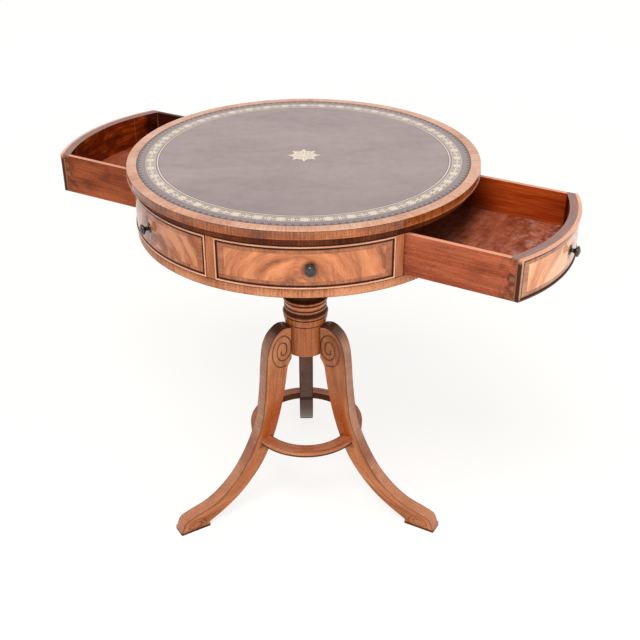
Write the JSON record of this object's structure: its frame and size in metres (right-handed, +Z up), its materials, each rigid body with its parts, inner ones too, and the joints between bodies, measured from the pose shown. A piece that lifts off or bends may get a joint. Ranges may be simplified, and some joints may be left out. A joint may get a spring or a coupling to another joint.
{
  "type": "drum table",
  "caption": "Round drum table with a leather-lined top, bow-fronted drawers between dummy fronts, a turned pillar, scrolled sabre legs and a ring stretcher.",
  "frame": {"origin": "On the floor at the middle of the foot print, under the axis of the pillar.", "axes": "+Z up along the pillar. -Y is the front, the side with a dummy front face on; +X is to the right of someone who looks at it."},
  "size_m": [0.9051, 0.6817, 0.729],
  "materials": {
    "carcass_wood": "plain sawn wood, unpolished inside the drum",
    "leather": "burgundy-brown hide, gilt-tooled, waxed",
    "crossband": "cross-banded veneer, polished",
    "cross_grain": "cross-grained veneer, polished",
    "stile_wood": "straight-grained veneer, polished",
    "flame_veneer": "flame-figured veneer with a crossbanded border, polished",
    "cockbead": "rounded bead, polished",
    "knob_finish": "turned brass, blackened, worn on the edges",
    "drawer_side_wood": "red-brown hardwood, waxed",
    "drawer_bottom_wood": "thin board, stained",
    "leg_wood": "solid hardwood, polished",
    "turned_wood": "turned hardwood, polished",
    "screw_steel": "plain steel"
  },
  "bodies": {
    "table": {"bearer_block": "carcass_wood", "bearer_screws": "screw_steel", "centre_divider": "carcass_wood", "drawer_stops": "carcass_wood", "drum_base_band": "cross_grain", "drum_base_board": "carcass_wood", "drum_upper_board": "cross_grain", "front_dummy_bead": "cockbead", "front_dummy_front": "flame_veneer", "front_dummy_knob": "knob_finish", "front_dummy_plate": "knob_finish", "front_partition": "carcass_wood", "leather_inset": "leather", "left_dummy_bead": "cockbead", "left_dummy_front": "flame_veneer", "left_dummy_knob": "knob_finish", "left_dummy_plate": "knob_finish", "left_leg": "leg_wood", "pillar": "turned_wood", "rear_dummy_bead": "cockbead", "rear_dummy_front": "flame_veneer", "rear_dummy_knob": "knob_finish", "rear_dummy_plate": "knob_finish", "rear_leg": "leg_wood", "rear_partition": "carcass_wood", "right_dummy_bead": "cockbead", "right_dummy_front": "flame_veneer", "right_dummy_knob": "knob_finish", "right_dummy_plate": "knob_finish", "right_leg": "leg_wood", "ring_stretcher": "turned_wood", "stile_front_left": "stile_wood", "stile_front_right": "stile_wood", "stile_left": "stile_wood", "stile_rear_left": "stile_wood", "stile_rear_right": "stile_wood", "stile_right": "stile_wood", "top_board": "carcass_wood", "top_crossband": "crossband", "top_edge_band": "cross_grain", "top_screws": "screw_steel"},
    "right_drawer": {"right_drawer_back": "drawer_side_wood", "right_drawer_bead": "cockbead", "right_drawer_bottom": "drawer_bottom_wood", "right_drawer_far_side": "drawer_side_wood", "right_drawer_front": "flame_veneer", "right_drawer_knob": "knob_finish", "right_drawer_near_side": "drawer_side_wood", "right_drawer_plate": "knob_finish"},
    "left_drawer": {"left_drawer_back": "drawer_side_wood", "left_drawer_bead": "cockbead", "left_drawer_bottom": "drawer_bottom_wood", "left_drawer_far_side": "drawer_side_wood", "left_drawer_front": "flame_veneer", "left_drawer_knob": "knob_finish", "left_drawer_near_side": "drawer_side_wood", "left_drawer_plate": "knob_finish"}
  },
  "joints": [
    {"name": "right_drawer_slide", "type": "slide", "parent": "table", "child": "right_drawer", "axis": [0.866, -0.5, 0], "range_m": [-0.187, 0.023]},
    {"name": "left_drawer_slide", "type": "slide", "parent": "table", "child": "left_drawer", "axis": [-0.866, 0.5, 0], "range_m": [-0.172, 0.038]}
  ]
}
